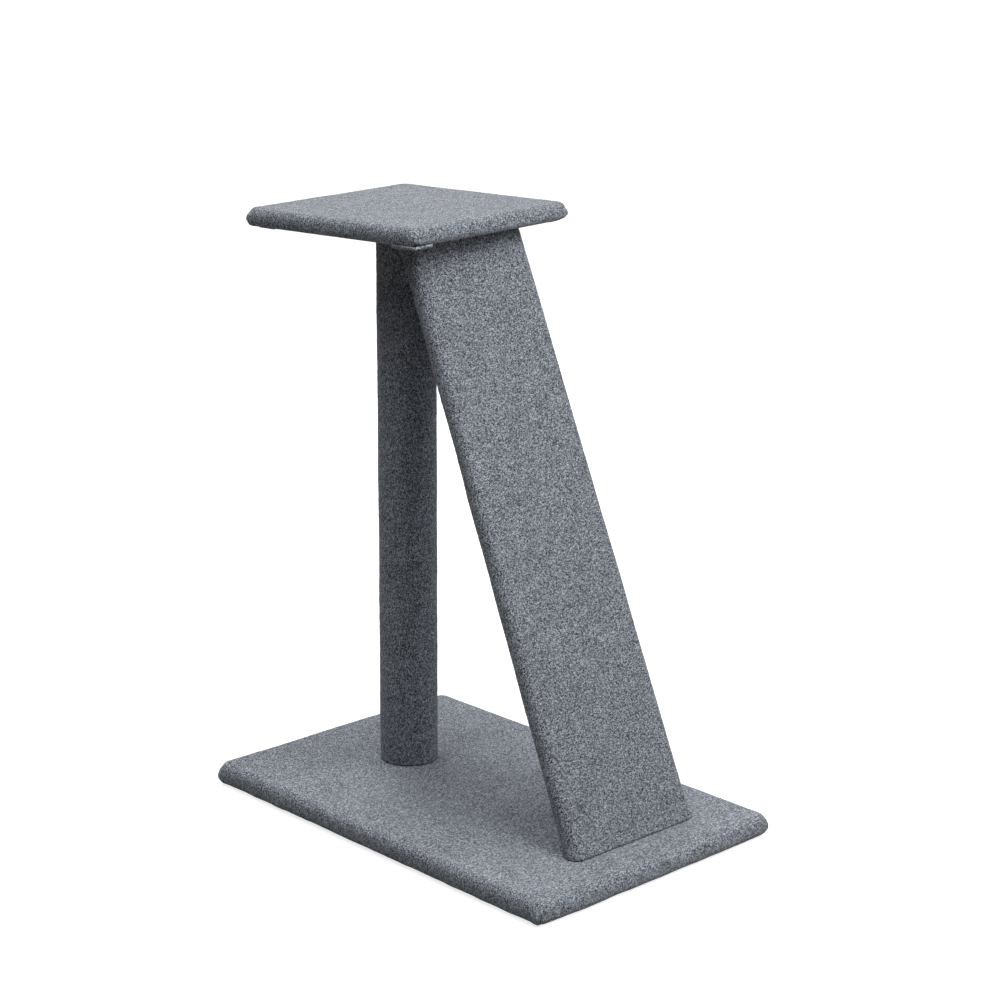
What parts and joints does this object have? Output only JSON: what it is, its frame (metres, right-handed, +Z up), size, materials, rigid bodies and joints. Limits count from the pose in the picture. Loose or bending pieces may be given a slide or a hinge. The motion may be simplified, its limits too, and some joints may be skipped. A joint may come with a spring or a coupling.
{
  "type": "cat tree",
  "caption": "Felt-covered cat tree: a flat base, a round post, a leaning scratching ramp and a nearly square top platform to sit on.",
  "frame": {"origin": "middle of the base's outline, on the floor", "axes": "+Z up; +Y along the base from the foot of the ramp to the post; +X across the base, to the right for someone facing the ramp"},
  "size_m": [0.4, 0.608, 0.757],
  "materials": {
    "felt": "needled carpet felt, grey-blue marl, matt",
    "chipboard": "raw chipboard",
    "plug_wood": "raw turned wood",
    "cardboard": "spiral-wound board, matt",
    "zinc_steel": "zinc plated",
    "staple_wire": "galvanised wire"
  },
  "bodies": {
    "root": {"base_cover": "felt", "post_cover": "felt", "platform_cover": "felt", "ramp_cover": "felt", "base_board": "chipboard", "platform_board": "chipboard", "ramp_board": "chipboard", "post_foot_plug": "plug_wood", "post_head_plug": "plug_wood", "post_tube": "cardboard", "post_bolt": "zinc_steel", "post_bolt_washer": "zinc_steel", "post_foot_t_nut": "zinc_steel", "post_head_t_nut": "zinc_steel", "platform_t_nut": "zinc_steel", "platform_stud": "zinc_steel", "ramp_screw_left": "zinc_steel", "ramp_screw_right": "zinc_steel", "ramp_screw_washer_left": "zinc_steel", "ramp_screw_washer_right": "zinc_steel", "bracket_left": "zinc_steel", "bracket_right": "zinc_steel", "bracket_screw_ramp_left": "zinc_steel", "bracket_screw_ramp_right": "zinc_steel", "bracket_screw_platform_left": "zinc_steel", "bracket_screw_platform_right": "zinc_steel", "base_staple_01": "staple_wire", "base_staple_02": "staple_wire", "base_staple_03": "staple_wire", "base_staple_04": "staple_wire", "base_staple_05": "staple_wire", "base_staple_06": "staple_wire", "base_staple_07": "staple_wire", "base_staple_08": "staple_wire", "base_staple_09": "staple_wire", "base_staple_10": "staple_wire", "platform_staple_01": "staple_wire", "platform_staple_02": "staple_wire", "platform_staple_03": "staple_wire", "platform_staple_04": "staple_wire", "platform_staple_05": "staple_wire", "platform_staple_06": "staple_wire", "platform_staple_07": "staple_wire", "platform_staple_08": "staple_wire"}
  },
  "joints": []
}
